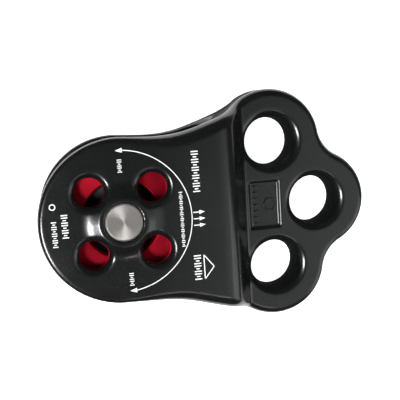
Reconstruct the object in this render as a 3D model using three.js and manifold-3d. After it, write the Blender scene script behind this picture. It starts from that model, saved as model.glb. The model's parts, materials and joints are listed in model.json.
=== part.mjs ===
// Rope pulley for tree climbing: a one-piece body with three attachment eyes, and a
// ball-bearing sheave that turns on an axle pin between the body's two cheeks.
// Millimetres. +X runs from the axle to the attachment eyes, +Z along the axle.
// The origin is on the axle's axis, at the rear face of the axle pin.

import * as THREE from "three";
import { mergeVertices } from "three/addons/utils/BufferGeometryUtils.js";
import Module from "manifold-3d";

const wasm = await Module();
wasm.setup();

// ---- Driving dimensions -------------------------------------------------------------
// Heights are measured from the middle plane, which halves the body.

const GAP = 0.15; // between pieces that touch or run on each other

const CHEEK_RADIUS = 26.5; // round end of the body, about the axle
const CHEEK_FACE = 14; // outer face of a cheek
const CHEEK_ROUND = 3; // rounding of a cheek's outer edge
const SLOT_HALF = 8; // half the space between the cheeks
const SLOT_END = 33; // x of the slot's round bottom, behind the rope

const PLATE_FACE = 6.5; // face of the attachment plate
const PLATE_ROUND = 2.4;
const PLATE_START = 37; // x where the plate's own block begins, inside the cheeks' block
const STEP = { topX: 30, steepX: 38.5, footX: 43, footZ: 5 }; // fall from a cheek to the plate

const SIDE_LOBE = { x: 51.6, y: 21, r: 17.7 };
const NOSE_LOBE = { x: 67.8, y: 0, r: 16.8 };
const LOBE_BLEND = 11.9; // radius of the hollow between two lobes
const NECK_START = 2.12; // angle on a side lobe where the neck begins
const NECK_LEFT = [[36, 31.8], [28, 28.8], [20, 26.6], [12, 25.9], [0, CHEEK_RADIUS]]; // x, half width
const NECK_RIGHT = [[36, 33.5], [28, 31.2], [20, 28.9], [12, 27.5], [0, CHEEK_RADIUS]];

const EYES = { nose: [66.3, 0], left: [51.5, 21.2], right: [51.5, -21.2] };
const EYE_RADIUS = 8;
const EYE_LIP = 2.2; // rounding of an eye's two edges

const WINDOW_PITCH = 10; // x and y of each window's centre
const WINDOW_RADIUS = 5;
const WINDOW_LIP = 2;

// Raised round the axle: a flat top, a short slope and a hollow foot.
const BOSS = { topRadius: 8, face: 15.4, bendRadius: 9.8, bend: 14.75, footRadius: 13 };
const BADGE = { x: 48.4, halfX: 5.6, halfY: 8.4, corner: 1.5, depth: 0.5 };

const AXLE_RADIUS = 6;
const AXLE_HALF = 15.5;
const AXLE_CHAMFER = 0.5;
const AXLE_HEAD = { radius: 7.4, height: 1.8 };

const SHEAVE = { radius: 24.5, half: 7.7, chamfer: 0.5, shoulder: 12.3 };
const GROOVE = { radius: 6.7, centre: 23.8 }; // the rope's groove, in section

const BEARING = { radius: 14, half: 4, chamfer: 0.4, innerLand: 8.2, outerLand: 11.8 };
const BALLS = { count: 8, circle: 10, radius: 2.3, race: 2.45 };
const SEAL = { inner: 8.45, outer: 12.3, low: 3.25, high: 3.85 };
const CAGE = { inner: 9.2, outer: 10.8, low: 0.12, high: 0.52, pocket: 2.6, dome: 3 };
const RIVET = { shank: 0.3, hole: 0.38, head: 0.62, headLow: 0.57, headHigh: 0.85 };

const SNAP = { inner: 12.8, outer: 14.6, groove: 14.85, low: -5.6, high: -4.4 };
const SNAP_LUG = { inner: 11.2, hole: 0.75, holeCircle: 12.4, from: 0.13, to: 0.36 };

const SEGMENTS = { sheave: 44, bearing: 32, eye: 24, window: 16, axle: 24 };

// ---- Helpers ------------------------------------------------------------------------

const TURN = 2 * Math.PI;

function finish(color, roughness, metalness) {
  return new THREE.MeshStandardMaterial({ color, roughness, metalness });
}

const blackAnodised = finish(0x0c0e0e, 0.22, 0.35);
const redAnodised = finish(0xb01028, 0.38, 0.85);
const turnedSteel = finish(0xb9b4ab, 0.3, 1);
const bearingSteel = finish(0x9a9c9e, 0.2, 1);
const springSteel = finish(0x2b2c2e, 0.4, 0.9);
const sealRubber = finish(0x111111, 0.6, 0);

function piece(name, geometry, material) {
  const mesh = new THREE.Mesh(geometry, material);
  mesh.name = name;
  return mesh;
}

function toSolid(geometry) {
  const bare = geometry.clone();
  bare.deleteAttribute("normal");
  bare.deleteAttribute("uv");
  const merged = mergeVertices(bare, 1e-4);
  const mesh = new wasm.Mesh({
    numProp: 3,
    vertProperties: new Float32Array(merged.attributes.position.array),
    triVerts: new Uint32Array(merged.index.array),
  });
  return new wasm.Manifold(mesh);
}

function toGeometry(solid) {
  const mesh = solid.getMesh();
  const geometry = new THREE.BufferGeometry();
  geometry.setAttribute("position", new THREE.BufferAttribute(mesh.vertProperties, 3));
  geometry.setIndex(new THREE.BufferAttribute(mesh.triVerts, 1));
  geometry.computeVertexNormals();
  return geometry;
}

function joined(geometries) {
  return geometries.map(toSolid).reduce((whole, next) => whole.add(next));
}

function cut(solid, geometries) {
  return geometries.reduce((left, tool) => left.subtract(toSolid(tool)), solid);
}

// The shape itself and its mirror image in the middle plane, for a shape that is
// alike on both sides of the XZ plane.
function frontAndRear(geometry) {
  return [geometry, geometry.clone().rotateX(Math.PI)];
}

// Points along an arc with both ends. It runs clockwise when `to` is less than `from`.
function arc(x, y, radius, from, to, steps) {
  const at = (i) => from + ((to - from) * i) / steps;
  const point = (a) => new THREE.Vector2(x + radius * Math.cos(a), y + radius * Math.sin(a));
  return Array.from({ length: steps + 1 }, (_, i) => point(at(i)));
}

// A closed profile of [radius, height] points, anticlockwise, turned about the Z axis.
function turned(profile, segments) {
  const points = profile.map((p) => (p.isVector2 ? p : new THREE.Vector2(...p)));
  return new THREE.LatheGeometry([...points, points[0]], segments).rotateX(Math.PI / 2);
}

// A profile that starts and ends on the axis, turned about the Z axis.
function turnedBar(profile, segments) {
  const points = profile.map((p) => (p.isVector2 ? p : new THREE.Vector2(...p)));
  return new THREE.LatheGeometry(points, segments).rotateX(Math.PI / 2);
}

// A flat outline thickened to both sides of the middle plane, with rounded edges.
function thick(outline, half, round, roundSteps) {
  const options = { depth: 2 * (half - round), bevelSegments: roundSteps };
  Object.assign(options, { bevelThickness: round, bevelSize: round, bevelOffset: -round });
  const geometry = new THREE.ExtrudeGeometry(new THREE.Shape(outline), options);
  return geometry.translate(0, 0, round - half);
}

// A flat outline between two heights.
function slab(outline, low, high, holes = []) {
  const shape = new THREE.Shape(outline);
  shape.holes = holes.map((points) => new THREE.Path(points));
  const options = { depth: high - low, bevelEnabled: false };
  return new THREE.ExtrudeGeometry(shape, options).translate(0, 0, low);
}

// An outline in x and z that runs right across the body in y.
function across(outline) {
  return slab(outline, -50, 50).rotateX(Math.PI / 2);
}

function mirroredInX(points) {
  return points.map((p) => new THREE.Vector2(p.x, -p.y)).reverse();
}

// ---- Body ---------------------------------------------------------------------------

// Centre of the circle that touches lobes a and b from outside, right of the line a to b.
function blendCentre(a, b, radius) {
  const line = new THREE.Vector2(b.x - a.x, b.y - a.y);
  const span = line.length();
  const reachA = a.r + radius;
  const reachB = b.r + radius;
  const along = (reachA ** 2 - reachB ** 2 + span ** 2) / (2 * span);
  const aside = Math.sqrt(reachA ** 2 - along ** 2);
  line.normalize();
  return { x: a.x + along * line.x + aside * line.y, y: a.y + along * line.y - aside * line.x };
}

function heading(from, to) {
  return Math.atan2(to.y - from.y, to.x - from.x);
}

// One side of the neck, from a side lobe back to the round end.
function neckEdge(widths) {
  const [start] = arc(SIDE_LOBE.x, SIDE_LOBE.y, SIDE_LOBE.r, NECK_START, NECK_START, 1);
  const through = [start, ...widths.map(([x, y]) => new THREE.Vector2(x, y))];
  return new THREE.SplineCurve(through).getPoints(12);
}

// One side of the body's outline, from the nose to the far end.
function sideOutline(neck) {
  const hollow = blendCentre(NOSE_LOBE, SIDE_LOBE, LOBE_BLEND);
  const noseEnd = heading(NOSE_LOBE, hollow);
  const sideStart = heading(SIDE_LOBE, hollow);
  return [
    ...arc(NOSE_LOBE.x, NOSE_LOBE.y, NOSE_LOBE.r, 0, noseEnd, 6),
    ...arc(hollow.x, hollow.y, LOBE_BLEND, noseEnd + Math.PI, sideStart + Math.PI, 4).slice(1),
    ...arc(SIDE_LOBE.x, SIDE_LOBE.y, SIDE_LOBE.r, sideStart, NECK_START, 10).slice(1),
    ...neck.slice(1),
    ...arc(0, 0, CHEEK_RADIUS, Math.PI / 2, Math.PI, 12).slice(1),
  ];
}

function bodyOutline(leftNeck, rightNeck) {
  return [...sideOutline(leftNeck), ...mirroredInX(sideOutline(rightNeck)).slice(1, -1)];
}

// The cheeks' block, which keeps the neck's outline up to the cheeks' faces.
function cheekBlock(leftNeck, rightNeck) {
  const end = arc(0, 0, CHEEK_RADIUS, Math.PI / 2, Math.PI, 12).slice(1);
  const [left, right] = [leftNeck, rightNeck].map((neck) => {
    const insidePlate = new THREE.Vector2(STEP.footX + 6, neck[0].y);
    return [insidePlate, ...neck, ...end];
  });
  return thick([...left, ...mirroredInX(right).slice(1)], CHEEK_FACE, CHEEK_ROUND, 3);
}

// The body seen from the side: full height over the cheeks, then an S down to the plate.
function stepProfile() {
  const fall = new THREE.CubicBezierCurve(
    new THREE.Vector2(STEP.topX, CHEEK_FACE),
    new THREE.Vector2(STEP.steepX, CHEEK_FACE),
    new THREE.Vector2(STEP.steepX, STEP.footZ + 1),
    new THREE.Vector2(STEP.footX, STEP.footZ),
  );
  const upper = fall.getPoints(8).reverse();
  const left = -CHEEK_RADIUS - 5;
  const half = [...upper, new THREE.Vector2(left, CHEEK_FACE)];
  return [...half, ...mirroredInX(half)];
}

function slotCutter() {
  const left = -CHEEK_RADIUS - 5;
  const bottom = arc(SLOT_END - SLOT_HALF, 0, SLOT_HALF, -Math.PI / 2, Math.PI / 2, 12);
  return across([
    new THREE.Vector2(left, -SLOT_HALF),
    ...bottom,
    new THREE.Vector2(left, SLOT_HALF),
  ]);
}

function eyeCutter([x, y]) {
  const outside = PLATE_FACE + 1;
  const lipRadius = EYE_RADIUS + EYE_LIP;
  const lip = arc(lipRadius, PLATE_FACE - EYE_LIP, EYE_LIP, Math.PI, Math.PI / 2, 2);
  const wall = [...lip.map((p) => new THREE.Vector2(p.x, -p.y)).reverse(), ...lip];
  const profile = [[0, -outside], [lipRadius, -outside], ...wall, [lipRadius, outside], [0, outside]];
  return turnedBar(profile, SEGMENTS.eye).translate(x, y, 0);
}

function windowCutter(x, y) {
  const outside = CHEEK_FACE + 1;
  const lipRadius = WINDOW_RADIUS + WINDOW_LIP;
  const lip = arc(lipRadius, CHEEK_FACE - WINDOW_LIP, WINDOW_LIP, Math.PI, Math.PI / 2, 2);
  const inside = SLOT_HALF - 1;
  const profile = [[0, inside], [WINDOW_RADIUS, inside], ...lip, [lipRadius, outside], [0, outside]];
  return turnedBar(profile, SEGMENTS.window).translate(x, y, 0);
}

function boss() {
  const root = CHEEK_FACE - 1;
  return turnedBar([
    [0, root], [BOSS.footRadius, root], [BOSS.footRadius, CHEEK_FACE],
    [BOSS.bendRadius, BOSS.bend], [BOSS.topRadius, BOSS.face], [0, BOSS.face],
  ], SEGMENTS.axle);
}

// The axle's hole, with a small chamfer at the front and a seat for the head at the rear.
function axleCutter() {
  const hole = AXLE_RADIUS + GAP;
  const seat = AXLE_HEAD.radius + GAP;
  const seatFloor = AXLE_HEAD.height + GAP - AXLE_HALF;
  const outside = AXLE_HALF + 1;
  const profile = [
    [0, -outside], [seat, -outside], [seat, seatFloor], [hole, seatFloor],
    [hole, BOSS.face - AXLE_CHAMFER], [hole + AXLE_CHAMFER, BOSS.face],
    [hole + AXLE_CHAMFER, outside], [0, outside],
  ];
  return turnedBar(profile, SEGMENTS.axle);
}

// The shallow badge recess in the front of the plate.
function badgeCutter() {
  const { x, halfX, halfY, corner, depth } = BADGE;
  const quarter = Math.PI / 2;
  const outline = [[1, 1], [-1, 1], [-1, -1], [1, -1]].flatMap(([sx, sy], i) =>
    arc(x + sx * (halfX - corner), sy * (halfY - corner), corner, i * quarter, (i + 1) * quarter, 3),
  );
  return slab(outline, PLATE_FACE - depth, PLATE_FACE + 1);
}

function body() {
  const necks = [NECK_LEFT, NECK_RIGHT].map(neckEdge);
  const plateOutline = bodyOutline(...necks).filter((p) => p.x > PLATE_START);
  const plate = thick(plateOutline, PLATE_FACE, PLATE_ROUND, 2);
  const cheeks = toSolid(cheekBlock(...necks)).intersect(toSolid(across(stepProfile())));
  const windows = [[1, 1], [-1, 1], [-1, -1], [1, -1]].flatMap(([sx, sy]) =>
    frontAndRear(windowCutter(sx * WINDOW_PITCH, sy * WINDOW_PITCH)),
  );
  const blank = cheeks.add(toSolid(plate)).add(joined(frontAndRear(boss())));
  const cutters = [slotCutter(), axleCutter(), badgeCutter(), ...Object.values(EYES).map(eyeCutter)];
  return piece("body", toGeometry(cut(blank, [...cutters, ...windows])), blackAnodised);
}

// ---- Axle ---------------------------------------------------------------------------

function axlePin() {
  const headTop = AXLE_HEAD.height - AXLE_HALF;
  const profile = [
    [0, -AXLE_HALF], [AXLE_HEAD.radius - AXLE_CHAMFER, -AXLE_HALF],
    [AXLE_HEAD.radius, AXLE_CHAMFER - AXLE_HALF], [AXLE_HEAD.radius, headTop],
    [AXLE_RADIUS, headTop], [AXLE_RADIUS, AXLE_HALF - AXLE_CHAMFER],
    [AXLE_RADIUS - AXLE_CHAMFER, AXLE_HALF], [0, AXLE_HALF],
  ];
  return piece("axle_pin", turnedBar(profile, SEGMENTS.axle), turnedSteel);
}

// A collar on the axle, between the bearing's inner ring and a cheek.
function spacer(name, side) {
  const low = BEARING.half + GAP;
  const high = SLOT_HALF - GAP;
  const bore = AXLE_RADIUS + GAP;
  const { innerLand } = BEARING;
  const geometry = turned([[bore, low], [innerLand, low], [innerLand, high], [bore, high]], SEGMENTS.axle);
  return piece(name, side > 0 ? geometry : geometry.rotateX(Math.PI), turnedSteel);
}

// ---- Sheave -------------------------------------------------------------------------

function sheave() {
  const { radius, half, chamfer, shoulder } = SHEAVE;
  const seat = BEARING.radius + GAP;
  const shoulderFloor = BEARING.half + GAP;
  const rim = Math.acos((radius - GROOVE.centre) / GROOVE.radius);
  const groove = arc(GROOVE.centre, 0, GROOVE.radius, TURN - rim, rim, 8);
  const profile = [
    [shoulder, shoulderFloor], [seat, shoulderFloor],
    [seat, SNAP.high + GAP], [SNAP.groove, SNAP.high + GAP],
    [SNAP.groove, SNAP.low - GAP], [seat, SNAP.low - GAP],
    [seat, chamfer - half], [seat + chamfer, -half],
    [radius - chamfer, -half], [radius, chamfer - half],
    ...groove,
    [radius, half - chamfer], [radius - chamfer, half],
    [shoulder + chamfer, half], [shoulder, half - chamfer],
  ];
  return piece("sheave", turned(profile, SEGMENTS.sheave), redAnodised);
}

// The spring ring that holds the bearing in the sheave: an open ring with two lugs.
function snapRing() {
  const { inner, outer, low, high } = SNAP;
  const { from, to, holeCircle, hole } = SNAP_LUG;
  const middle = (from + to) / 2;
  const hollow = arc(0, 0, inner, TURN - to, to, 24);
  const outline = [
    ...arc(0, 0, outer, from, TURN - from, 28),
    ...arc(0, 0, SNAP_LUG.inner, TURN - from, TURN - to, 2),
    ...hollow,
    ...arc(0, 0, SNAP_LUG.inner, to, from, 2),
  ];
  const holes = [middle, -middle].map((a) =>
    arc(holeCircle * Math.cos(a), holeCircle * Math.sin(a), hole, 0, TURN, 8).slice(1),
  );
  return piece("sheave_snap_ring", slab(outline, low, high, holes), springSteel);
}

// ---- Bearing ------------------------------------------------------------------------

// Half the height of a race's mouth at a ring's land.
function raceMouth(land) {
  return Math.sqrt(BALLS.race ** 2 - (BALLS.circle - land) ** 2);
}

function innerRing() {
  const { half, chamfer, innerLand } = BEARING;
  const bore = AXLE_RADIUS + GAP;
  const mouth = Math.atan2(raceMouth(innerLand), innerLand - BALLS.circle);
  const profile = [
    [bore, chamfer - half], [bore + chamfer, -half], [innerLand, -half],
    ...arc(BALLS.circle, 0, BALLS.race, TURN - mouth, mouth, 6),
    [innerLand, half], [bore + chamfer, half], [bore, half - chamfer],
  ];
  return piece("bearing_inner_ring", turned(profile, SEGMENTS.bearing), bearingSteel);
}

function outerRing() {
  const { half, chamfer, outerLand, radius } = BEARING;
  const mouth = Math.atan2(raceMouth(outerLand), outerLand - BALLS.circle);
  const sealSeat = SEAL.outer + GAP;
  const sealFloor = SEAL.low - GAP;
  const profile = [
    [sealSeat, -half], [radius - chamfer, -half], [radius, chamfer - half],
    [radius, half - chamfer], [radius - chamfer, half], [sealSeat, half],
    [sealSeat, sealFloor], [outerLand, sealFloor],
    ...arc(BALLS.circle, 0, BALLS.race, mouth, -mouth, 6),
    [outerLand, -sealFloor], [sealSeat, -sealFloor],
  ];
  return piece("bearing_outer_ring", turned(profile, SEGMENTS.bearing), bearingSteel);
}

function seal(name, side) {
  const { inner, outer, low, high } = SEAL;
  const lip = 0.2; // the rubber thins towards its inner edge
  const profile = [[inner, low + lip], [inner + 1, low], [outer, low], [outer, high], [inner, high]];
  const geometry = turned(profile, SEGMENTS.bearing);
  return piece(name, side > 0 ? geometry : geometry.rotateX(Math.PI), sealRubber);
}

function ballPlace(i) {
  return (TURN * i) / BALLS.count;
}

function ball(i) {
  const mesh = piece(`bearing_ball_${i + 1}`, new THREE.SphereGeometry(BALLS.radius, 10, 6), bearingSteel);
  mesh.position.set(BALLS.circle * Math.cos(ballPlace(i)), BALLS.circle * Math.sin(ballPlace(i)), 0);
  return mesh;
}

function atBall(i, geometry) {
  return geometry.translate(BALLS.circle, 0, 0).rotateZ(ballPlace(i));
}

function atRivet(i, geometry) {
  return geometry.translate(BALLS.circle, 0, 0).rotateZ(ballPlace(i + 0.5));
}

// One half of the pressed cage: a flat ring with a dome over each ball.
function cageHalf(name, side) {
  const { inner, outer, low, high, pocket, dome } = CAGE;
  const numbers = Array.from({ length: BALLS.count }, (_, i) => i);
  const flat = turned([[inner, low], [outer, low], [outer, high], [inner, high]], SEGMENTS.bearing);
  const band = turned([[inner, low], [outer, low], [outer, dome + 1], [inner, dome + 1]], SEGMENTS.bearing);
  const domes = numbers.map((i) => atBall(i, new THREE.SphereGeometry(dome, 10, 6)));
  const pockets = numbers.map((i) => atBall(i, new THREE.SphereGeometry(pocket, 10, 6)));
  const hole = [[0, -1], [RIVET.hole, -1], [RIVET.hole, 1], [0, 1]];
  const holes = numbers.map((i) => atRivet(i, turnedBar(hole, 6)));
  const shell = joined([flat, ...domes]).intersect(toSolid(band));
  const geometry = toGeometry(cut(shell, [...pockets, ...holes]));
  return piece(name, side > 0 ? geometry : geometry.rotateX(Math.PI), bearingSteel);
}

function rivet(i) {
  const { shank, head, headLow, headHigh } = RIVET;
  const geometry = turnedBar([
    [0, -headHigh], [head, -headHigh], [head, -headLow], [shank, -headLow],
    [shank, headLow], [head, headLow], [head, headHigh], [0, headHigh],
  ], 6);
  return piece(`bearing_rivet_${i + 1}`, atRivet(i, geometry), bearingSteel);
}

// ---- Assembly -----------------------------------------------------------------------

const pulley = new THREE.Group();
pulley.position.z = AXLE_HALF;
pulley.add(body(), axlePin(), spacer("spacer_front", 1), spacer("spacer_rear", -1));
pulley.add(sheave(), snapRing());
pulley.add(innerRing(), outerRing(), seal("bearing_seal_front", 1), seal("bearing_seal_rear", -1));
pulley.add(cageHalf("bearing_cage_front", 1), cageHalf("bearing_cage_rear", -1));
for (let i = 0; i < BALLS.count; i++) pulley.add(ball(i), rivet(i));

export default pulley;
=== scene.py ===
import json
import math

import bmesh
import bpy
import numpy as np
from mathutils import Matrix, Vector


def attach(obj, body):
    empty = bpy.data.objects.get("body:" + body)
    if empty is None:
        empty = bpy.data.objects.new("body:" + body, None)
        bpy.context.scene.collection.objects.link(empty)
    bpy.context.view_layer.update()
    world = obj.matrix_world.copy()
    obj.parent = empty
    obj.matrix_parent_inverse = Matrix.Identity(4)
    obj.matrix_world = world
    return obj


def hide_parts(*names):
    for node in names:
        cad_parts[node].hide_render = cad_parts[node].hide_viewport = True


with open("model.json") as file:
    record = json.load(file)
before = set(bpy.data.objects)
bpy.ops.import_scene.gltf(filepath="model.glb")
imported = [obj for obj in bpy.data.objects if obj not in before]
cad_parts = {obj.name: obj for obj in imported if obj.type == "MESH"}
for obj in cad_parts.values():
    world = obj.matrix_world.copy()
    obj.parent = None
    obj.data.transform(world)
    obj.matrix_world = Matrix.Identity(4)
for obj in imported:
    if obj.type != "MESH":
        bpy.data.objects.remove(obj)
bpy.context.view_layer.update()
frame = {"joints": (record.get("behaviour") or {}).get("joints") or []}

# ---- Sizes, in millimetres; heights are from the body's middle plane ---------------------

MM = 0.001
JOINTS = {joint["name"]: joint for joint in frame["joints"]}
MIDDLE = Vector(JOINTS["sheave_spin"]["pos_m"])  # where the axle crosses the middle plane

CHEEK_RADIUS = 26.5
CHEEK_FACE = 14.0
SLOT_HALF = 8.0
SLOT_END = 33.0
PLATE_FACE = 6.5
END_ROUND, NECK_ROUND, PLATE_ROUND = 1.5, 4.4, 2.6  # rounding of the outer edge, from end to nose
END_TO_NECK, NECK_TO_PLATE = (-4, 22), (35, 43)  # x ranges where that rounding changes
SLOT_ROUND, SLOT_END_ROUND, SLOT_CHANGE = 0.7, 2.5, (8, 26)  # rounding of the slot's edge, and its x range
BORE_ROUND, SEAT_ROUND = 0.35, 0.3
STEP_TOP, STEP_FOOT, STEP_LATE = 30.5, 42.4, 1.9  # x range of the fall to the plate, and how late it falls

SIDE_LOBE = (51.6, 21.0, 17.68)  # x, y, radius
NOSE_LOBE = (67.8, 0.0, 16.8)
LOBE_BLEND = 11.9
NECK_START = 2.12  # angle on a side lobe where the neck begins
NECK_LEFT = [(36, 31.8), (28, 28.8), (20, 26.6), (12, 25.9), (0, CHEEK_RADIUS)]  # x, half width
NECK_RIGHT = [(36, 33.5), (28, 31.2), (20, 28.9), (12, 27.5), (0, CHEEK_RADIUS)]

EYES = [(66.3, 0.0), (51.5, 21.2), (51.5, -21.2)]
EYE_RADIUS, EYE_FLARE, EYE_LIP = 7.9, 1.3, 1.8  # throat, how much wider at the faces, edge rounding
WINDOWS = [(sx * 10.0, sy * 10.0) for sx in (-1, 1) for sy in (-1, 1)]
WINDOW_RADIUS, WINDOW_LIP = 4.6, 2.2
BOSS_TOP, BOSS_BEND, BOSS_FOOT = 7.7, 9.6, 13.4  # radii: flat top, straight slope, hollow foot
BOSS_RISE, BOSS_SLOPE, BOSS_ROUND = 1.4, 0.37, 0.25
BADGE_X, BADGE_HALF_X, BADGE_HALF_Y = 48.4, 5.6, 8.4
BADGE_DEPTH, BADGE_WALL, BADGE_CORNER = 0.75, 1.1, 0.8

AXLE_RADIUS, AXLE_HALF = 6.0, 15.5
AXLE_HEAD_RADIUS, AXLE_HEAD_HEIGHT = 7.4, 1.8
AXLE_CHAMFER, AXLE_HEAD_CHAMFER = 0.45, 0.5
CLEARANCE = 0.15

SHEAVE_RADIUS, SHEAVE_HALF, SHOULDER_RADIUS = 24.5, 7.7, 12.3
SHEAVE_CHAMFER, SHOULDER_CHAMFER = 0.5, 0.6
GROOVE_RADIUS, GROOVE_CENTRE = 6.7, 23.8
BEARING_RADIUS, BEARING_HALF = 14.0, 4.0
INNER_LAND, OUTER_LAND = 8.2, 11.8
BALL_COUNT, BALL_CIRCLE, BALL_RADIUS, RACE_RADIUS = 8, 10.0, 2.3, 2.45
SEAL_INNER, SEAL_OUTER, SEAL_LOW, SEAL_HIGH = 8.45, 12.3, 3.25, 3.85
CAGE_INNER, CAGE_OUTER, CAGE_SHEET, CAGE_DOME, CAGE_GAP = 9.2, 10.8, 0.4, 3.0, 0.12
SNAP_INNER, SNAP_OUTER, SNAP_LOW, SNAP_HIGH = 12.8, 14.6, -5.6, -4.4
SNAP_GROOVE = 14.85
SNAP_LUG_INNER, SNAP_LUG_FROM, SNAP_LUG_TO = 11.2, 0.13, 0.36  # radius, and angles of a lug's sides
SNAP_HOLE_CIRCLE, SNAP_HOLE_RADIUS = 12.4, 0.75

TURN = 2 * math.pi


# ---- Mesh helpers -------------------------------------------------------------------------

def smoothstep(value, low, high):
    t = np.clip((value - low) / (high - low), 0, 1)
    return t * t * (3 - 2 * t)


def arc(x, y, radius, start, end, steps):
    """Points along an arc with both ends, as an array of x and y."""
    angles = np.linspace(start, end, steps + 1)
    return np.stack([x + radius * np.cos(angles), y + radius * np.sin(angles)], 1)


def new_object(name, points, faces):
    """A mesh from points in millimetres about the axle, with its faces turned outwards."""
    mesh = bpy.data.meshes.new(name)
    placed = np.asarray(points, float) * MM + np.array(MIDDLE)
    mesh.from_pydata(placed.tolist(), [], [list(map(int, f)) for f in faces])
    shape = bmesh.new()
    shape.from_mesh(mesh)
    bmesh.ops.recalc_face_normals(shape, faces=shape.faces)
    shape.to_mesh(mesh)
    shape.free()
    piece = bpy.data.objects.new(name, mesh)
    bpy.context.scene.collection.objects.link(piece)
    return piece


def finished(piece, material, body, replaced=()):
    """Smooth shading, a material and a CAD body for a piece."""
    piece.data.materials.clear()
    piece.data.materials.append(material)
    piece.data.shade_smooth()
    piece.data.set_sharp_from_angle(angle=math.radians(40))
    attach(piece, body)
    if replaced:
        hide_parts(*replaced)
    return piece


def add_object(name, points, faces, material, body, replaced=()):
    return finished(new_object(name, points, faces), material, body, replaced)


def softened(profile, radius, steps=4):
    """A closed profile with each corner cut to a small round."""
    profile = np.asarray(profile, float)
    result = []
    for before, corner, after in zip(np.roll(profile, 1, 0), profile, np.roll(profile, -1, 0)):
        to_before, to_after = before - corner, after - corner
        near = min(np.linalg.norm(to_before), np.linalg.norm(to_after))
        a = to_before / np.linalg.norm(to_before)
        b = to_after / np.linalg.norm(to_after)
        if corner[0] == 0 or np.dot(a, b) < -0.9:
            result.append(corner)
            continue
        reach = min(radius, 0.45 * near)
        for t in np.linspace(0, 1, steps + 1):
            result.append(corner + reach * ((1 - t) ** 2 * a + t ** 2 * b))
    return np.array(result)


def turned(profile, segments):
    """Points and faces of a closed profile of radius and height, turned about the axle."""
    angles = np.arange(segments) * TURN / segments
    points, rows = [], []
    for radius, height in profile:
        start = len(points)
        if radius == 0:
            points.append((0, 0, height))
            rows.append([start] * segments)
        else:
            points += [(radius * math.cos(a), radius * math.sin(a), height) for a in angles]
            rows.append(list(range(start, start + segments)))
    faces = []
    for row, after in zip(rows, rows[1:] + rows[:1]):
        for i in range(segments):
            k = (i + 1) % segments
            corners = list(dict.fromkeys((row[i], row[k], after[k], after[i])))
            if len(corners) > 2:
                faces.append(corners)
    return np.array(points), faces


def lathe(name, profile, material, body, replaced=(), segments=128, soften=0.15):
    points, faces = turned(softened(profile, soften), segments)
    return add_object(name, points, faces, material, body, replaced)


def mirrored(profile):
    """The same profile on the other side of the middle plane."""
    return [(r, -z) for r, z in profile][::-1]


def settled(piece):
    """Applies a piece's modifiers to its mesh."""
    graph = bpy.context.evaluated_depsgraph_get()
    mesh = bpy.data.meshes.new_from_object(piece.evaluated_get(graph))
    piece.modifiers.clear()
    piece.data = mesh


def rounded(piece, width, segments=2):
    """Rounds a piece's sharp edges, by a width in millimetres."""
    bevel = piece.modifiers.new("edges", "BEVEL")
    bevel.width = width * MM
    bevel.segments = segments
    bevel.limit_method = "ANGLE"
    bevel.angle_limit = math.radians(40)
    settled(piece)


def slab(outline, low, high):
    """Points and faces of a flat outline between two heights."""
    outline = [tuple(p) for p in outline]
    count = len(outline)
    points = [(x, y, z) for z in (low, high) for x, y in outline]
    sides = [(i, (i + 1) % count, count + (i + 1) % count, count + i) for i in range(count)]
    return points, sides + [tuple(range(count))[::-1], tuple(range(count, 2 * count))]


def band(outer, inner, low, high, closed):
    """Points and faces of a strip between two edges of as many points, as one closed solid."""
    count = len(outer)
    rims = ((outer, low), (outer, high), (inner, high), (inner, low))
    points = [(x, y, z) for edge, z in rims for x, y in edge]
    faces = []
    for i in range(count if closed else count - 1):
        j = (i + 1) % count
        for side in range(4):
            a, b = side * count, (side + 1) % 4 * count
            faces.append((a + i, a + j, b + j, b + i))
    if not closed:
        faces += [tuple(side * count + end for side in range(4)) for end in (0, count - 1)]
    return points, faces


def gathered(parts):
    """Several (points, faces) pairs as one."""
    points, faces = [], []
    for some_points, some_faces in parts:
        shift = len(points)
        points.extend(map(tuple, some_points))
        faces.extend([[shift + i for i in face] for face in some_faces])
    return points, faces


# ---- Body: a distance field, meshed with surface nets ---------------------------------------

def both(a, b, radius):
    """Distance to where two shapes overlap, with the edge between them rounded."""
    u, v = np.maximum(radius + a, 0), np.maximum(radius + b, 0)
    return np.minimum(-radius, np.maximum(a, b)) + np.hypot(u, v)


def blend_centre(a, b, radius):
    """Centre of the circle that touches lobes a and b from outside, right of the line a to b."""
    line = np.array([b[0] - a[0], b[1] - a[1]])
    span = np.linalg.norm(line)
    reach_a, reach_b = a[2] + radius, b[2] + radius
    along = (reach_a ** 2 - reach_b ** 2 + span ** 2) / (2 * span)
    aside = math.sqrt(reach_a ** 2 - along ** 2)
    line /= span
    return np.array(a[:2]) + along * line + aside * np.array([line[1], -line[0]])


def catmull_rom(points, steps):
    """A smooth curve through points, with its ends repeated."""
    points = np.array([points[0], *points, points[-1]], float)
    t = np.linspace(0, 1, steps, endpoint=False)[:, None]
    pieces = []
    for p0, p1, p2, p3 in zip(points, points[1:], points[2:], points[3:]):
        pieces.append(0.5 * (2 * p1 + (p2 - p0) * t + (2 * p0 - 5 * p1 + 4 * p2 - p3) * t ** 2
                             + (3 * p1 - p0 - 3 * p2 + p3) * t ** 3))
    return np.vstack([*pieces, points[-1:]])


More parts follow.
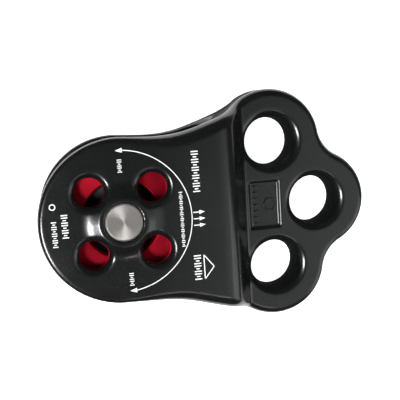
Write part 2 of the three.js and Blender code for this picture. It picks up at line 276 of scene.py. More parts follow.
def side_outline(neck):
    """One side of the body's outline seen along the axle, from the nose to the far end."""
    hollow = blend_centre(NOSE_LOBE, SIDE_LOBE, LOBE_BLEND)
    nose_end = math.atan2(hollow[1] - NOSE_LOBE[1], hollow[0] - NOSE_LOBE[0])
    side_start = math.atan2(hollow[1] - SIDE_LOBE[1], hollow[0] - SIDE_LOBE[0])
    neck_start = arc(*SIDE_LOBE, NECK_START, NECK_START, 1)[0]
    return np.vstack([
        arc(*NOSE_LOBE, 0, nose_end, 50),
        arc(*hollow, LOBE_BLEND, nose_end + math.pi, side_start + math.pi, 40)[1:],
        arc(*SIDE_LOBE, side_start, NECK_START, 90)[1:],
        catmull_rom([tuple(neck_start), *neck], 16)[1:],
        arc(0, 0, CHEEK_RADIUS, math.pi / 2, math.pi, 90)[1:],
    ])


def body_outline():
    """The whole outline, anticlockwise from the nose."""
    left, right = side_outline(NECK_LEFT), side_outline(NECK_RIGHT)
    return np.vstack([left, (right * [1, -1])[::-1][1:-1]])


def outline_distance(outline, x, y):
    """Signed distance to a closed outline, negative inside."""
    nearest = np.full(x.shape, np.inf)
    inside = np.zeros(x.shape, bool)
    for (ax, ay), (bx, by) in zip(outline, np.roll(outline, -1, 0)):
        dx, dy = bx - ax, by - ay
        t = np.clip(((x - ax) * dx + (y - ay) * dy) / (dx * dx + dy * dy), 0, 1)
        nearest = np.minimum(nearest, (x - ax - t * dx) ** 2 + (y - ay - t * dy) ** 2)
        if ay != by:
            inside ^= ((ay > y) != (by > y)) & (x < dx * (y - ay) / (by - ay) + ax)
    return np.where(inside, -1, 1) * np.sqrt(nearest)


class Outline:
    """The outline's distance on a fine flat grid, read back with a smooth interpolation."""

    STEP = 0.4
    MARGIN = 4.0

    def __init__(self, outline):
        self.low = outline.min(0) - self.MARGIN
        size = np.ceil((outline.max(0) + self.MARGIN - self.low) / self.STEP).astype(int) + 1
        xs, ys = (self.low[i] + self.STEP * np.arange(size[i]) for i in (0, 1))
        self.grid = outline_distance(outline, *np.meshgrid(xs, ys, indexing="ij"))

    def __call__(self, x, y):
        u = (x - self.low[0]) / self.STEP
        v = (y - self.low[1]) / self.STEP
        i = np.clip(u.astype(int), 1, self.grid.shape[0] - 3)
        j = np.clip(v.astype(int), 1, self.grid.shape[1] - 3)
        total = 0
        for a, weight_a in enumerate(self.weights(u - i)):
            for b, weight_b in enumerate(self.weights(v - j)):
                total = total + weight_a * weight_b * self.grid[i + a - 1, j + b - 1]
        return total

    @staticmethod
    def weights(t):
        return (0.5 * (-t ** 3 + 2 * t ** 2 - t), 0.5 * (3 * t ** 3 - 5 * t ** 2 + 2),
                0.5 * (-3 * t ** 3 + 4 * t ** 2 + t), 0.5 * (t ** 3 - t ** 2))


def rounded_box(x, y, half_x, half_y, corner):
    u, v = np.abs(x) - half_x + corner, np.abs(y) - half_y + corner
    return np.hypot(np.maximum(u, 0), np.maximum(v, 0)) + np.minimum(np.maximum(u, v), 0) - corner


def boss_height(radius):
    """Rise round the axle: flat, then a straight slope that runs out in a hollow foot."""
    foot = BOSS_FOOT - BOSS_BEND
    bend_height = BOSS_SLOPE * foot / 2
    hollow = bend_height * np.clip((BOSS_FOOT - radius) / foot, 0, 1) ** 2
    slope = bend_height + (BOSS_RISE - bend_height) * (BOSS_BEND - radius) / (BOSS_BEND - BOSS_TOP)
    return np.where(radius > BOSS_BEND, hollow, -both(-slope, -BOSS_RISE, BOSS_ROUND))


def face_height(x, y, front):
    """Height of the body's outer face above the middle plane."""
    along = np.clip((x - STEP_TOP) / (STEP_FOOT - STEP_TOP), 0, 1) ** STEP_LATE
    height = CHEEK_FACE + (PLATE_FACE - CHEEK_FACE) * smoothstep(along, 0, 1)
    height = height + boss_height(np.hypot(x, y))
    badge = rounded_box(x - BADGE_X, y, BADGE_HALF_X, BADGE_HALF_Y, BADGE_CORNER)
    return height - np.where(front, BADGE_DEPTH * (1 - smoothstep(badge, -BADGE_WALL, 0)), 0)


def body_field(outline, x, y, z):
    """Signed distance, negative inside the body."""
    level = np.abs(z)
    front = z > 0
    edge_round = END_ROUND + (NECK_ROUND - END_ROUND) * smoothstep(x, *END_TO_NECK)
    edge_round = edge_round + (PLATE_ROUND - NECK_ROUND) * smoothstep(x, *NECK_TO_PLATE)
    nudge = 0.05
    slope = (face_height(x + nudge, y, front) - face_height(x - nudge, y, front)) / (2 * nudge)
    top = (level - face_height(x, y, front)) / np.hypot(1, slope)
    field = both(outline(x, y), top, edge_round)

    slot = np.where(x < SLOT_END - SLOT_HALF, level, np.hypot(x - SLOT_END + SLOT_HALF, z)) - SLOT_HALF
    slot_round = SLOT_ROUND + (SLOT_END_ROUND - SLOT_ROUND) * smoothstep(x, *SLOT_CHANGE)
    field = both(field, -slot, slot_round)
    flared = EYE_RADIUS + EYE_FLARE * np.minimum(level / PLATE_FACE, 1) ** 2
    lean = 0.95  # a flared wall leans, so it is a little nearer than it is straight outwards
    for cx, cy in EYES:
        field = both(field, lean * (flared - np.hypot(x - cx, y - cy)), EYE_LIP)
    for cx, cy in WINDOWS:
        field = both(field, WINDOW_RADIUS - np.hypot(x - cx, y - cy), WINDOW_LIP)

    from_axle = np.hypot(x, y)
    field = both(field, AXLE_RADIUS + CLEARANCE - from_axle, BORE_ROUND)
    seat_side = from_axle - AXLE_HEAD_RADIUS - CLEARANCE
    seat_floor = z + AXLE_HALF - AXLE_HEAD_HEIGHT - CLEARANCE
    return both(field, -np.maximum(seat_side, seat_floor), SEAT_ROUND)


def net_vertices(values, low, step):
    """One point in each grid cell that the surface passes through, and the cells' numbers."""
    inside = values < 0
    corners = [(a, b, c) for a in (0, 1) for b in (0, 1) for c in (0, 1)]
    nx, ny, nz = (n - 1 for n in values.shape)
    total = sum(inside[a:a + nx, b:b + ny, c:c + nz].astype(np.int8) for a, b, c in corners)
    cells = np.argwhere((total > 0) & (total < 8))
    number = np.full((nx, ny, nz), -1, np.int64)
    number[tuple(cells.T)] = np.arange(len(cells))
    place, crossings = np.zeros((len(cells), 3)), np.zeros((len(cells), 1))
    for first in corners:
        for axis in range(3):
            if first[axis]:
                continue
            second = tuple(1 if k == axis else first[k] for k in range(3))
            a = values[tuple((cells + first).T)]
            b = values[tuple((cells + second).T)]
            crossed = ((a < 0) != (b < 0))[:, None]
            t = (a / np.where(a == b, 1, a - b))[:, None]
            place += np.where(crossed, cells + first + t * (np.array(second) - first), 0)
            crossings += crossed
    return low + step * place / crossings, number


def net_faces(values, number):
    """A quad round each grid edge that crosses the surface."""
    inside = values < 0
    faces = []
    for axis in range(3):
        u, v = (axis + 1) % 3, (axis + 2) % 3
        here, there = [slice(None)] * 3, [slice(None)] * 3
        here[axis], there[axis] = slice(0, -1), slice(1, None)
        starts, ends = inside[tuple(here)], inside[tuple(there)]
        edges = np.argwhere(starts != ends)
        keep = (edges[:, u] > 0) & (edges[:, v] > 0)
        keep &= (edges[:, u] < values.shape[u] - 1) & (edges[:, v] < values.shape[v] - 1)
        edges = edges[keep]
        ring = []
        for du, dv in ((-1, -1), (0, -1), (0, 0), (-1, 0)):
            cell = edges.copy()
            cell[:, u] += du
            cell[:, v] += dv
            ring.append(number[tuple(cell.T)])
        quad = np.stack(ring, 1)
        outward = starts[tuple(edges.T)]
        faces.append(np.where(outward[:, None], quad, quad[:, ::-1]))
    return np.vstack(faces)


def settle(field, points):
    """Moves points along the field's slope onto its zero surface."""
    rounds, nudge = 4, 0.02
    flattest, longest_move = 0.05, 0.3
    for _ in range(rounds):
        slope = np.empty_like(points)
        for axis in range(3):
            step = np.zeros(3)
            step[axis] = nudge
            slope[:, axis] = (field(*(points + step).T) - field(*(points - step).T)) / (2 * nudge)
        steepness = np.maximum((slope ** 2).sum(1), flattest)
        move = (field(*points.T) / steepness)[:, None] * slope
        length = np.linalg.norm(move, axis=1, keepdims=True)
        points = points - move * np.minimum(1, longest_move / np.maximum(length, 1e-9))
    return points


def make_body(material):
    outline = body_outline()
    distance = Outline(outline)

    def field(x, y, z):
        return body_field(distance, x, y, z)

    step = 0.5
    margin = 1.5 * step
    reach = np.array([*outline.max(0), CHEEK_FACE + BOSS_RISE])
    low = np.array([*outline.min(0), -reach[2]]) - margin
    counts = np.ceil((reach + margin - low) / step).astype(int) + 1
    axes = [low[i] + step * np.arange(counts[i]) for i in range(3)]
    values = np.stack([
        field(*np.meshgrid(axes[0], axes[1], [z], indexing="ij"))[:, :, 0] for z in axes[2]
    ], 2)
    points, number = net_vertices(values, low, step)
    faces = net_faces(values, number)
    return add_object("body_forging", settle(field, points), faces, material, "frame", ["body"])


# ---- Materials ------------------------------------------------------------------------------

class Finish:
    """A node material with a Principled surface, for one of the record's material slots."""

    def __init__(self, name, slot, **sockets):
        self.material = bpy.data.materials.new(name)
        if slot:
            self.material["slot"] = slot
        self.material.use_nodes = True
        self.tree = self.material.node_tree
        self.surface = self.tree.nodes["Principled BSDF"]
        for socket, value in sockets.items():
            self.surface.inputs[socket.replace("_", " ")].default_value = value

    def add(self, kind, **settings):
        node = self.tree.nodes.new(kind)
        for key, value in settings.items():
            if hasattr(node, key):
                setattr(node, key, value)
            else:
                node.inputs[key.replace("_", " ")].default_value = value
        return node

    def link(self, start, end):
        self.tree.links.new(start, end)

    def noise(self, scale, detail=3.0, stretch=None):
        node = self.add("ShaderNodeTexNoise", Scale=scale, Detail=detail)
        self.link(self.local(stretch), node.inputs["Vector"])
        return node.outputs["Fac"]

    def local(self, stretch=None):
        place = self.add("ShaderNodeTexCoord").outputs["Object"]
        if stretch is None:
            return place
        mapping = self.add("ShaderNodeMapping")
        mapping.inputs["Scale"].default_value = stretch
        self.link(place, mapping.inputs["Vector"])
        return mapping.outputs["Vector"]

    def spread(self, value, low, high, start=0.0, end=1.0):
        node = self.add("ShaderNodeMapRange")
        for socket, number in (("From Min", start), ("From Max", end), ("To Min", low), ("To Max", high)):
            node.inputs[socket].default_value = number
        self.link(value, node.inputs["Value"])
        return node.outputs["Result"]

    def maths(self, operation, a, b=None):
        node = self.add("ShaderNodeMath", operation=operation)
        for socket, value in zip(node.inputs, (a, b)):
            if isinstance(value, (int, float)):
                socket.default_value = value
            elif value is not None:
                self.link(value, socket)
        return node.outputs["Value"]

    def radius(self):
        """Distance from the axle, in metres."""
        parts = self.add("ShaderNodeSeparateXYZ")
        self.link(self.local(), parts.inputs["Vector"])
        squares = [self.maths("MULTIPLY", parts.outputs[k], parts.outputs[k]) for k in ("X", "Y")]
        return self.maths("SQRT", self.maths("ADD", *squares))

    def rings(self, pitch):
        """Height of fine turning marks round the axle, with an uneven pitch."""
        wander = self.maths("MULTIPLY", self.noise(60.0, 2.0), 0.0015)
        turns = self.maths("DIVIDE", self.maths("ADD", self.radius(), wander), pitch)
        return self.maths("SINE", self.maths("MULTIPLY", turns, TURN))

    def bump(self, height, distance, strength=1.0):
        node = self.add("ShaderNodeBump", Strength=strength, Distance=distance)
        self.link(height, node.inputs["Height"])
        self.link(node.outputs["Normal"], self.surface.inputs["Normal"])

    def drive(self, socket, value):
        self.link(value, self.surface.inputs[socket])

    def blend(self, factor, dark, light, socket="Base Color"):
        node = self.add("ShaderNodeMix", data_type="RGBA")
        self.link(factor, node.inputs["Factor"])
        node.inputs[6].default_value = (*dark, 1)
        node.inputs[7].default_value = (*light, 1)
        self.link(node.outputs[2], self.surface.inputs[socket])


def black_anodised():
    """Glossy black over a polished forging: faint cloudiness, a fine skin and tiny scuffs."""
    f = Finish("black_anodised", "body", Metallic=0.0, IOR=1.5, Coat_Weight=0.25, Coat_Roughness=0.08)
    f.blend(f.noise(90.0, 4.0), (0.002, 0.0022, 0.0023), (0.0055, 0.006, 0.006))
    cloud = f.spread(f.noise(140.0, 5.0), 0.19, 0.27)
    scuff = f.spread(f.noise(900.0, 2.0, (1, 6, 1)), 0.0, 0.06, 0.55, 0.8)
    f.drive("Roughness", f.maths("ADD", cloud, scuff))
    f.bump(f.noise(700.0, 3.0), 0.00002, 0.35)
    return f.material


def red_anodised():
    """Satin red anodised aluminium, turned on a lathe."""
    f = Finish("red_anodised", "sheave", Metallic=0.85, Anisotropic=0.5)
    f.blend(f.noise(300.0, 4.0), (0.31, 0.0016, 0.011), (0.4, 0.0025, 0.018))
    f.drive("Roughness", f.spread(f.noise(500.0, 3.0), 0.32, 0.42))
    f.bump(f.rings(0.00022), 0.000004, 0.6)
    return f.material


def turned_steel():
    """Faced stainless steel: concentric turning marks that streak the light across the centre."""
    f = Finish("turned_steel", "axle", Metallic=0.6, Anisotropic=0.9)
    tangent = f.add("ShaderNodeTangent", direction_type="RADIAL", axis="Z")
    f.link(tangent.outputs["Tangent"], f.surface.inputs["Tangent"])
    f.blend(f.noise(2500.0, 2.0), (0.21, 0.197, 0.188), (0.29, 0.273, 0.26))
    f.drive("Roughness", f.spread(f.noise(1500.0, 2.0), 0.3, 0.4))
    f.bump(f.rings(0.00018), 0.000003, 0.7)
    return f.material


def ground_steel():
    """Ground and polished bearing steel."""
    f = Finish("ground_steel", "bearing_steel", Metallic=1.0)
    f.blend(f.noise(400.0, 3.0), (0.5, 0.5, 0.51), (0.62, 0.62, 0.63))
    f.drive("Roughness", f.spread(f.noise(900.0, 4.0), 0.12, 0.22))
    f.bump(f.rings(0.0003), 0.000002, 0.4)
    return f.material


def pressed_steel():
    """Pressed cage sheet: dull, slightly oily."""
    f = Finish("pressed_steel", "bearing_steel", Metallic=1.0, Coat_Weight=0.2)
    f.blend(f.noise(700.0, 4.0), (0.38, 0.36, 0.33), (0.55, 0.53, 0.5))
    f.drive("Roughness", f.spread(f.noise(1100.0, 4.0), 0.28, 0.45))
    f.bump(f.noise(1800.0, 4.0), 0.00001, 0.5)
    return f.material


def spring_steel():
    """Blackened spring steel."""
    f = Finish("spring_steel", "spring_steel", Metallic=0.9)
    f.blend(f.noise(600.0, 4.0), (0.03, 0.031, 0.034), (0.07, 0.07, 0.075))
    f.drive("Roughness", f.spread(f.noise(900.0, 4.0), 0.3, 0.5))
    f.bump(f.noise(2200.0, 3.0), 0.00001, 0.4)
    return f.material


def seal_rubber():
    """Matt moulded rubber."""
    f = Finish("seal_rubber", "seal", Metallic=0.0)
    f.blend(f.noise(500.0, 4.0), (0.004, 0.004, 0.005), (0.012, 0.012, 0.013))
    f.drive("Roughness", f.spread(f.noise(1200.0, 4.0), 0.55, 0.75))
    f.bump(f.noise(3000.0, 3.0), 0.00002, 0.5)
    return f.material


def white_print():
    """Printed white marking ink, a little uneven."""
    f = Finish("white_print", None, Metallic=0.0)
    f.blend(f.noise(1500.0, 4.0), (0.62, 0.64, 0.63), (0.86, 0.88, 0.87))
    f.drive("Roughness", f.spread(f.noise(1200.0, 3.0), 0.4, 0.6))
    f.bump(f.noise(4000.0, 2.0), 0.000004, 0.4)
    return f.material


# ---- Axle and sheave --------------------------------------------------------------------------

def make_axle(material):
    head = AXLE_HEAD_HEIGHT - AXLE_HALF
    profile = [
        (0, -AXLE_HALF), (AXLE_HEAD_RADIUS - AXLE_HEAD_CHAMFER, -AXLE_HALF),
        (AXLE_HEAD_RADIUS, AXLE_HEAD_CHAMFER - AXLE_HALF), (AXLE_HEAD_RADIUS, head),
        (AXLE_RADIUS, head), (AXLE_RADIUS, AXLE_HALF - AXLE_CHAMFER),
        (AXLE_RADIUS - AXLE_CHAMFER, AXLE_HALF), (0, AXLE_HALF),
    ]
    return lathe("axle", profile, material, "frame", ["axle_pin"], 192, 0.12)


def make_spacer(name, profile, material):
    return lathe(name + "_collar", profile, material, "frame", [name], 96, 0.25)


def make_spacers(material):
    low, high, bore = BEARING_HALF + CLEARANCE, SLOT_HALF - CLEARANCE, AXLE_RADIUS + CLEARANCE
    profile = [(bore, low), (INNER_LAND, low), (INNER_LAND, high), (bore, high)]
    make_spacer("spacer_front", profile, material)
    make_spacer("spacer_rear", mirrored(profile), material)


def make_sheave(material):
    seat, floor = BEARING_RADIUS + CLEARANCE, BEARING_HALF + CLEARANCE
    rim = math.acos((SHEAVE_RADIUS - GROOVE_CENTRE) / GROOVE_RADIUS)
    groove = arc(GROOVE_CENTRE, 0, GROOVE_RADIUS, TURN - rim, rim, 48)
    profile = [
        (SHOULDER_RADIUS, floor), (seat, floor),
        (seat, SNAP_HIGH + CLEARANCE), (SNAP_GROOVE, SNAP_HIGH + CLEARANCE),
        (SNAP_GROOVE, SNAP_LOW - CLEARANCE), (seat, SNAP_LOW - CLEARANCE),
        (seat, SHEAVE_CHAMFER - SHEAVE_HALF), (seat + SHEAVE_CHAMFER, -SHEAVE_HALF),
        (SHEAVE_RADIUS - SHEAVE_CHAMFER, -SHEAVE_HALF), (SHEAVE_RADIUS, SHEAVE_CHAMFER - SHEAVE_HALF),
        *map(tuple, groove),
        (SHEAVE_RADIUS, SHEAVE_HALF - SHEAVE_CHAMFER), (SHEAVE_RADIUS - SHEAVE_CHAMFER, SHEAVE_HALF),
        (SHOULDER_RADIUS + SHOULDER_CHAMFER, SHEAVE_HALF),
        (SHOULDER_RADIUS, SHEAVE_HALF - SHOULDER_CHAMFER),
    ]
    return lathe("sheave_wheel", profile, material, "sheave", ["sheave"], 192, 0.2)


# ---- Printed marks ----------------------------------------------------------------------------

INK_LOW, INK_HIGH = CHEEK_FACE + 0.005, CHEEK_FACE + 0.03
INK_LINE = 0.3  # usual width of a printed line
LOAD_ARC = (-0.7, 0.0, 22.5)  # x, y, radius
LOAD_ARC_ENDS, LOAD_ARC_WIDTH = (-1.43, 1.49), 0.26
LOAD_ARROWS = (0.9, -1.2, -3.3)  # y of the three arrows towards the plate
TRIANGLE = [(24.8, -13.2), (28.0, -17.3), (24.8, -21.2)]


def ink(outline):
    return slab(outline, INK_LOW, INK_HIGH)


def ink_ring(x, y, radius, width, start=0.0, end=TURN, steps=72):
    """A printed line along an arc, as one band."""
    closed = end - start == TURN
    edges = [arc(x, y, radius + side * width / 2, start, end, steps) for side in (1, -1)]
    if closed:
        edges = [edge[:-1] for edge in edges]
    return band(*edges, INK_LOW, INK_HIGH, closed)


def ink_line(start, end, width):
    start, end = np.array(start, float), np.array(end, float)
    along = (end - start) / np.linalg.norm(end - start)
    aside = np.array([-along[1], along[0]]) * width / 2
    return ink([start - aside, end - aside, end + aside, start + aside])


def ink_arrow(x, y, length, width, way):
    """A small arrow head whose tip points along X."""
    return ink([(x, y - way * width / 2), (x + way * length, y), (x, y + way * width / 2)])


def ink_bars(low_x, high_x, first_y, last_y, count, share=0.42):
    """A row of thin bars that runs along Y, every third one short, in place of a line of print."""
    pitch = abs(last_y - first_y) / count
    parts = []
    for i in range(count):
        low_y = min(first_y, last_y) + i * pitch
        high_y = low_y + share * pitch
        inset = 0.25 * (high_x - low_x) if i % 3 == 1 else 0
        start_x, end_x = low_x + inset, high_x - inset
        parts.append(ink([(start_x, low_y), (end_x, low_y), (end_x, high_y), (start_x, high_y)]))
    return gathered(parts)


def make_marks(material):
    """The load arc with its arrows, a triangle, and rows of bars where the real one has print."""
    parts = [
        ink_ring(*LOAD_ARC, LOAD_ARC_WIDTH, *LOAD_ARC_ENDS, 120),
        *[ink_arrow(*arc(*LOAD_ARC, a, a, 1)[0], 2.2, 1.5, -1) for a in LOAD_ARC_ENDS],
        *[ink_arrow(24.2, y, 1.9, 1.3, 1) for y in LOAD_ARROWS],
        *[ink_line((22.3, y), (24.3, y), INK_LINE) for y in LOAD_ARROWS],
        *[ink_line(a, b, INK_LINE) for a, b in zip(TRIANGLE, TRIANGLE[1:] + TRIANGLE[:1])],
        ink_bars(22.7, 25.0, 21.0, 7.4, 16),
        ink_bars(21.5, 23.8, -12.6, -21.2, 10),
        ink_bars(18.0, 19.1, 8.2, -9.8, 30, 0.45),
        ink_bars(-19.2, -17.2, 4.4, -3.4, 10),
        ink_bars(-22.3, -20.7, 2.4, -6.0, 12),
        ink_ring(-21.5, 6.6, 0.85, INK_LINE, steps=24),
        ink_bars(-0.7, 0.7, 20.0, 15.6, 7),
        ink_bars(0.4, 1.8, -16.2, -20.6, 7),
    ]
    points, faces = gathered(parts)
    return add_object("printed_marks", points, faces, material, "frame")


HEXAGON_X, HEXAGON_RADII = 50.4, (2.6, 1.9)
DASH_LOW_X, DASH_HIGH_X, DASH_HALF = 44.5, 46.3, 0.4
DASH_COUNT, DASH_START, DASH_PITCH = 7, -6.3, 2.1
MOTIF_SUNK, MOTIF_RISE = 0.15, 0.3  # below and above the recess's floor


def make_badge(material):
    """A plain hexagon and a row of dashes, raised in the badge recess."""
    floor = PLATE_FACE - BADGE_DEPTH
    low, high = floor - MOTIF_SUNK, floor + MOTIF_RISE
    outer, inner = (arc(HEXAGON_X, 0, r, 0, TURN, 6)[:-1] for r in HEXAGON_RADII)
    parts = [band(outer, inner, low, high, True)]
    for i in range(DASH_COUNT):
        y = DASH_START + DASH_PITCH * i
        low_y, high_y = y - DASH_HALF, y + DASH_HALF
        dash = [(DASH_LOW_X, low_y), (DASH_HIGH_X, low_y), (DASH_HIGH_X, high_y), (DASH_LOW_X, high_y)]
        parts.append(slab(dash, low, high))
    piece = new_object("badge_motif", *gathered(parts))
    rounded(piece, 0.12)
    return finished(piece, material, "frame")


# ---- Bearing ------------------------------------------------------------------------------------

def race_mouth(land):
    """Angle, at the ball's centre, of a race's edge."""
    across = land - BALL_CIRCLE
    return math.atan2(math.sqrt(RACE_RADIUS ** 2 - across ** 2), across)


def make_rings(material):
    bore, mouth = AXLE_RADIUS + CLEARANCE, race_mouth(INNER_LAND)
    inner = [
        (bore, -BEARING_HALF), (INNER_LAND, -BEARING_HALF),
        *map(tuple, arc(BALL_CIRCLE, 0, RACE_RADIUS, TURN - mouth, mouth, 24)),
        (INNER_LAND, BEARING_HALF), (bore, BEARING_HALF),
    ]
    lathe("inner_ring", inner, material, "frame", ["bearing_inner_ring"], 96, 0.3)
    mouth = race_mouth(OUTER_LAND)
    seat, floor = SEAL_OUTER + CLEARANCE, SEAL_LOW - CLEARANCE
    outer = [
        (seat, -BEARING_HALF), (BEARING_RADIUS, -BEARING_HALF),
        (BEARING_RADIUS, BEARING_HALF), (seat, BEARING_HALF), (seat, floor), (OUTER_LAND, floor),
        *map(tuple, arc(BALL_CIRCLE, 0, RACE_RADIUS, mouth, -mouth, 24)),
        (OUTER_LAND, -floor), (seat, -floor),
    ]
    lathe("outer_ring", outer, material, "sheave", ["bearing_outer_ring"], 96, 0.3)


def make_seals(material):
    """Rubber-faced discs with a thin lip at the inner edge and a raised ring near the outer one."""
    low, high = SEAL_LOW, SEAL_HIGH
    profile = [
        (SEAL_INNER, low + 0.25), (SEAL_INNER + 0.9, low), (SEAL_OUTER, low), (SEAL_OUTER, high),
        (SEAL_OUTER - 0.5, high), (SEAL_OUTER - 0.8, high - 0.15), (SEAL_INNER + 1.3, high - 0.15),
        (SEAL_INNER + 1.0, high), (SEAL_INNER + 0.5, high), (SEAL_INNER, high - 0.2),
    ]
    lathe("seal_front", profile, material, "sheave", ["bearing_seal_front"], 96, 0.12)
    lathe("seal_rear", mirrored(profile), material, "sheave", ["bearing_seal_rear"], 96, 0.12)


def ball_angle(i):
    return TURN * i / BALL_COUNT


def make_balls(material):
    """Polished balls, each with its poles along the axle's direction."""
    half = arc(0, 0, BALL_RADIUS, -math.pi / 2, math.pi / 2, 24)
    half[0, 0] = half[-1, 0] = 0  # the poles lie on the turning axis
    shape, faces = turned(half, 48)
    for i in range(BALL_COUNT):
        a = ball_angle(i)
        points = shape + [BALL_CIRCLE * math.cos(a), BALL_CIRCLE * math.sin(a), 0]
        add_object(f"ball_{i + 1}", points, faces, material, f"ball_{i + 1}", [f"bearing_ball_{i + 1}"])


def cage_height(angle):
    """Height of the pressed cage's underside: flat, with a dome over each ball."""
    half_pitch = TURN / (2 * BALL_COUNT)
    nearest = (angle + half_pitch) % (2 * half_pitch) - half_pitch
    away = BALL_CIRCLE * abs(nearest)
    pocket = CAGE_DOME - CAGE_SHEET
    dome = math.sqrt(max(pocket ** 2 - away ** 2, 0))
    return max(CAGE_GAP, dome)


def make_cage_half(name, side, material):
    steps, nudge = 320, 0.01
    steepest, thickening = 3.0, 0.6  # the sheet is drawn taller where it is steep
    rows = []
    for i in range(steps):
        a = TURN * i / steps
        low = cage_height(a)
        ahead, behind = cage_height(a + nudge), cage_height(a - nudge)
        slope = min(steepest, abs(ahead - behind) / (2 * nudge * BALL_CIRCLE))
        high = min(low + CAGE_SHEET * math.hypot(1, thickening * slope), CAGE_DOME)
        for r, z in ((CAGE_INNER, low), (CAGE_OUTER, low), (CAGE_OUTER, high), (CAGE_INNER, high)):
            rows.append((r * math.cos(a), side * r * math.sin(a), side * z))
    faces = []
    for i in range(steps):
        here, there = 4 * i, 4 * ((i + 1) % steps)
        faces += [(here + j, there + j, there + (j + 1) % 4, here + (j + 1) % 4) for j in range(4)]
    add_object(name + "_sheet", rows, faces, material, "cage", [name])


def make_rivets(material):
    """Two-headed rivets between the pockets."""
    profile = [
        (0, -0.85), (0.4, -0.82), (0.62, -0.65), (0.62, -0.57), (0.3, -0.57),
        (0.3, 0.57), (0.62, 0.57), (0.62, 0.65), (0.4, 0.82), (0, 0.85),
    ]
    shape, faces = turned(softened(profile, 0.06, 2), 20)
    for i in range(BALL_COUNT):
        a = ball_angle(i + 0.5)
        points = shape + [BALL_CIRCLE * math.cos(a), BALL_CIRCLE * math.sin(a), 0]
        add_object(f"rivet_{i + 1}", points, faces, material, "cage", [f"bearing_rivet_{i + 1}"])


def snap_ring_inner(angle):
    """Inner radius of the spring ring, which widens into a lug at each end."""
    away = min(angle, TURN - angle)
    shoulder = 0.07
    widening = smoothstep(away, SNAP_LUG_TO, SNAP_LUG_TO + shoulder)
    return SNAP_LUG_INNER + (SNAP_INNER - SNAP_LUG_INNER) * widening


def make_snap_ring(material):
    """The open spring ring, with a plier hole in each lug."""
    steps = 320
    outer = arc(0, 0, SNAP_OUTER, SNAP_LUG_FROM, TURN - SNAP_LUG_FROM, steps)
    angles = np.linspace(SNAP_LUG_FROM, TURN - SNAP_LUG_FROM, steps + 1)
    inner = [(snap_ring_inner(a) * math.cos(a), snap_ring_inner(a) * math.sin(a)) for a in angles]
    piece = new_object("snap_ring", *band(outer, inner, SNAP_LOW, SNAP_HIGH, False))
    lug_middle = (SNAP_LUG_FROM + SNAP_LUG_TO) / 2
    for angle in (lug_middle, -lug_middle):
        plug, faces = turned([
            (0, SNAP_LOW - 1), (SNAP_HOLE_RADIUS, SNAP_LOW - 1),
            (SNAP_HOLE_RADIUS, SNAP_HIGH + 1), (0, SNAP_HIGH + 1),
        ], 32)
        centre = [SNAP_HOLE_CIRCLE * math.cos(angle), SNAP_HOLE_CIRCLE * math.sin(angle), 0]
        cutter = new_object("plug", plug + centre, faces)
        hole = piece.modifiers.new("hole", "BOOLEAN")
        hole.operation = "DIFFERENCE"
        hole.solver = "EXACT"
        hole.object = cutter
        settled(piece)
        bpy.data.objects.remove(cutter)
    rounded(piece, 0.12)
    return finished(piece, material, "sheave", ["sheave_snap_ring"])


# ---- Scene --------------------------------------------------------------------------------------

# The camera stands over the front face: the object's turns about X, Y and Z as seen by it, and
# where it stands from the axle in its own axes.
SEEN_TURN = [math.radians(a) for a in (8.02, 11.13, 5.3)]
STAND = Vector((26.7, 5.2, 227.3))
LENS = 61.37


def make_camera():
    turn = Matrix.Rotation(SEEN_TURN[2], 3, "Z") @ Matrix.Rotation(SEEN_TURN[1], 3, "Y")
    back = (turn @ Matrix.Rotation(SEEN_TURN[0], 3, "X")).transposed()
    camera = bpy.data.objects.new("camera", bpy.data.cameras.new("camera"))
    bpy.context.scene.collection.objects.link(camera)
    camera.matrix_world = Matrix.Translation(MIDDLE + back @ STAND * MM) @ back.to_4x4()
    camera.data.lens = LENS
    camera.data.clip_start = 0.01
    bpy.context.scene.camera = camera


def make_floor():
    """A pale floor that curves up into a wall all round."""
    flat, wall, top, drop = 1.2, 1.0, 2.4, 0.0002  # metres; the drop keeps it clear of the part
    curve = [(flat * t, 0.0) for t in (0.0, 0.25, 0.5, 1.0)]
    bend = np.linspace(0, math.pi / 2, 13)[1:]
    curve += [(flat + wall * math.sin(a), wall * (1 - math.cos(a))) for a in bend]
    curve.append((flat + wall, top))
    count, segments = len(curve), 48
    points = [
        (r * math.cos(TURN * i / segments), r * math.sin(TURN * i / segments), z - drop)
        for i in range(segments) for r, z in curve
    ]
    faces = []
    for i in range(segments):
        here, there = i * count, (i + 1) % segments * count
        faces += [(here + j, there + j, there + j + 1, here + j + 1) for j in range(count - 1)]
    mesh = bpy.data.meshes.new("floor")
    mesh.from_pydata(points, [], faces)
    mesh.shade_smooth()
    f = Finish("floor_white", None, Metallic=0.0, Roughness=0.9, Emission_Strength=0.95)
    f.blend(f.noise(2.0, 2.0), (0.78, 0.78, 0.78), (0.82, 0.82, 0.82))
    f.surface.inputs["Emission Color"].default_value = (1, 1, 1, 1)
    mesh.materials.append(f.material)
    floor = bpy.data.objects.new("floor", mesh)
    bpy.context.scene.collection.objects.link(floor)
    floor.visible_glossy = False


def area_light(name, place, size, power, colour=(1, 1, 1), aim=(30, 0, 0)):
    """A soft box, in millimetres about the axle, that looks at a point."""
    data = bpy.data.lights.new(name, "AREA")
    data.shape = "RECTANGLE"
    data.size, data.size_y = size[0] * MM, size[1] * MM
    data.energy = power
    data.color = colour
    light = bpy.data.objects.new(name, data)
    bpy.context.scene.collection.objects.link(light)
    light.location = MIDDLE + Vector(place) * MM
    light.rotation_euler = (Vector(place) - Vector(aim)).to_track_quat("Z", "Y").to_euler()
    light.visible_camera = False


CARD_PLACE, CARD_HALF, CARD_LIGHT = (385, -170, 500), 340, 0.8
CARD_FALLOFF = 2.5  # power of the distance from its middle by which it fades


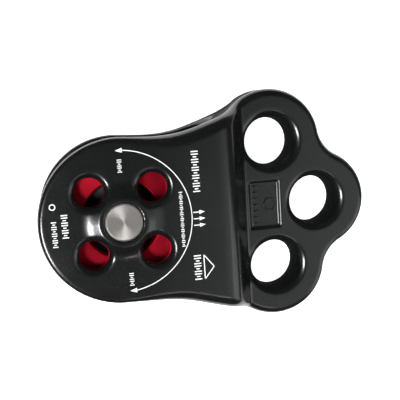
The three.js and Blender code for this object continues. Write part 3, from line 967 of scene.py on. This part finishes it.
def make_card():
    """A large soft panel overhead, off to the right, that fades out towards its edges."""
    half = CARD_HALF * MM
    corners = [(-half, -half, 0), (-half, half, 0), (half, half, 0), (half, -half, 0)]
    mesh = bpy.data.meshes.new("card")
    mesh.from_pydata(corners, [], [(0, 1, 2, 3)])
    f = Finish("card_light", None)
    f.blend(f.noise(2.0, 1.0), (0.0, 0.0, 0.0), (0.01, 0.01, 0.01))
    place = f.add("ShaderNodeSeparateXYZ")
    f.link(f.local((1 / half, 1 / half, 1)), place.inputs["Vector"])
    squares = [f.maths("POWER", f.maths("ABSOLUTE", place.outputs[k]), CARD_FALLOFF) for k in ("X", "Y")]
    inside = f.maths("SUBTRACT", 1.0, f.maths("ADD", *squares))
    f.drive("Emission Strength", f.maths("MULTIPLY", f.maths("MAXIMUM", inside, 0.0), CARD_LIGHT))
    f.surface.inputs["Emission Color"].default_value = (0.96, 1.0, 0.99, 1)
    mesh.materials.append(f.material)
    card = bpy.data.objects.new("card", mesh)
    bpy.context.scene.collection.objects.link(card)
    card.location = MIDDLE + Vector(CARD_PLACE) * MM
    card.visible_camera = False


GLOW_GAP, GLOW_REACH, GLOW_LIGHT = 5.0, 160.0, 0.4


def make_glow():
    """The pale table round the body, as its flanks reflect it: a ring that starts clear of the outline."""
    outline = body_outline()[::4]
    body_middle, height = [30.0, 0.0], 0.0001
    along = np.roll(outline, -1, 0) - np.roll(outline, 1, 0)
    outward = np.stack([along[:, 1], -along[:, 0]], 1) / np.linalg.norm(along, axis=1, keepdims=True)
    from_middle = outline - body_middle
    spread = from_middle / np.linalg.norm(from_middle, axis=1, keepdims=True)
    count = len(outline)
    flat = np.vstack([outline + outward * GLOW_GAP, outline + spread * GLOW_REACH])
    points = np.column_stack([flat * MM + np.array(MIDDLE)[:2], np.full(2 * count, height)])
    faces = [(i, count + i, count + (i + 1) % count, (i + 1) % count) for i in range(count)]
    mesh = bpy.data.meshes.new("table_glow")
    mesh.from_pydata(points.tolist(), [], faces)
    f = Finish("table_glow", None, Roughness=0.9, Emission_Strength=GLOW_LIGHT)
    f.blend(f.noise(2.0, 2.0), (0.78, 0.78, 0.78), (0.82, 0.82, 0.82))
    f.surface.inputs["Emission Color"].default_value = (1, 1, 1, 1)
    mesh.materials.append(f.material)
    glow = bpy.data.objects.new("table_glow", mesh)
    bpy.context.scene.collection.objects.link(glow)
    glow.visible_camera = False
    glow.visible_shadow = False


def make_lights():
    area_light("key", (-225, -125, 430), (150, 130), 2.5)
    area_light("strip", (110, -300, 470), (160, 24), 0.1, (1.0, 0.9, 0.9))
    area_light("side", (560, -260, 330), (330, 460), 0.7, aim=(33, 0, 10))
    make_card()
    world = bpy.data.worlds.new("world")
    world.use_nodes = True
    world.node_tree.nodes["Background"].inputs["Color"].default_value = (0.036, 0.036, 0.04, 1)
    bpy.context.scene.world = world
    bpy.context.scene.view_settings.view_transform = "Standard"


body_black = black_anodised()
sheave_red = red_anodised()
axle_steel = turned_steel()
ring_steel = ground_steel()
cage_steel = pressed_steel()
snap_steel = spring_steel()
rubber = seal_rubber()

make_body(body_black)
make_badge(body_black)
make_marks(white_print())
make_axle(axle_steel)
make_spacers(axle_steel)
make_sheave(sheave_red)
make_snap_ring(snap_steel)
make_rings(ring_steel)
make_seals(rubber)
make_balls(ring_steel)
for side, half in ((1, "bearing_cage_front"), (-1, "bearing_cage_rear")):
    make_cage_half(half, side, cage_steel)
make_rivets(ring_steel)

make_camera()
make_floor()
make_glow()
make_lights()
